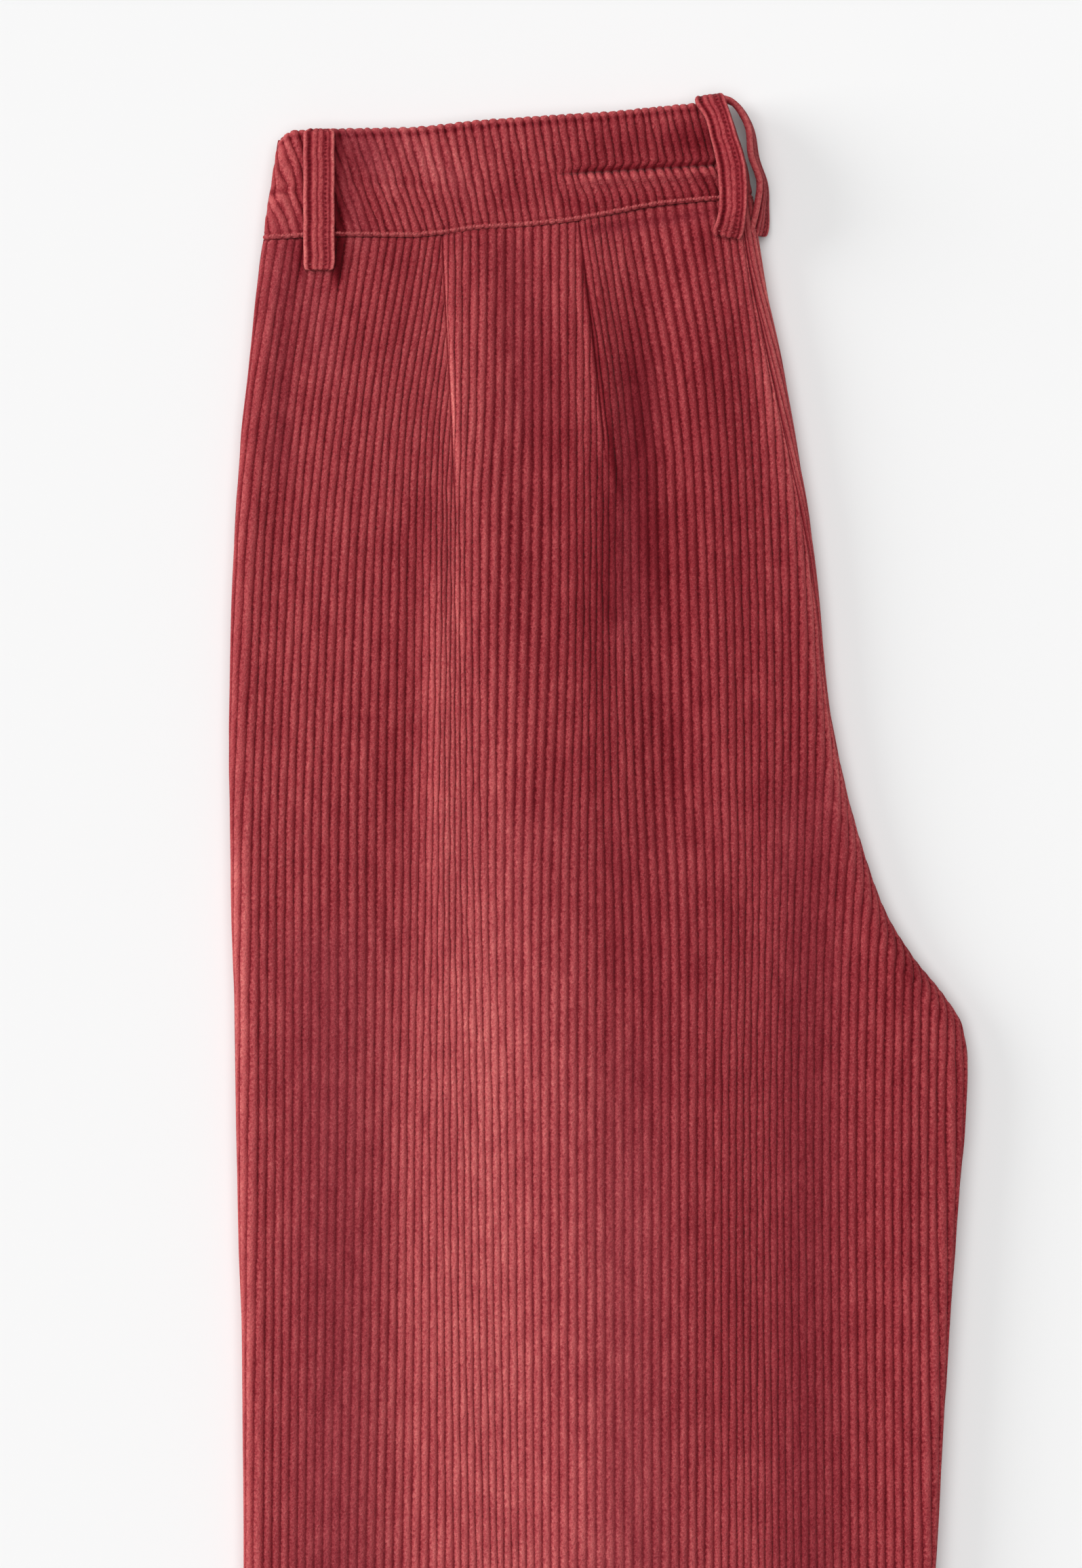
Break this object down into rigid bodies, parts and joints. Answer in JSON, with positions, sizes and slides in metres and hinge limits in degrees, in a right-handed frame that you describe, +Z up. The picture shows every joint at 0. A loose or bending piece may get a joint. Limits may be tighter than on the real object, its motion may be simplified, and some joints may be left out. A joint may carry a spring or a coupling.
{
  "type": "folded corduroy trousers",
  "caption": "Wide-leg corduroy trousers folded in half down the middle with the seat outwards, lying flat, with darts, waistband and belt loops.",
  "frame": {"origin": "centre of the footprint, on the surface that the folded trousers lie on", "axes": "+X across the folded legs towards the seat fold and inseams, +Y up the legs to the waist, +Z up from the surface"},
  "size_m": [0.2832, 1.0402, 0.0242],
  "materials": {
    "corduroy": "soft cut pile in wide wales, matt with a faint sheen along the ridges"
  },
  "bodies": {
    "root": {"back_left": "corduroy", "back_right": "corduroy", "front_panels": "corduroy", "waistband_back_left": "corduroy", "waistband_back_right": "corduroy", "waistband_fronts": "corduroy", "loop_side_left": "corduroy", "loop_side_right": "corduroy", "loop_centre_left": "corduroy", "loop_centre_right": "corduroy"}
  },
  "joints": []
}
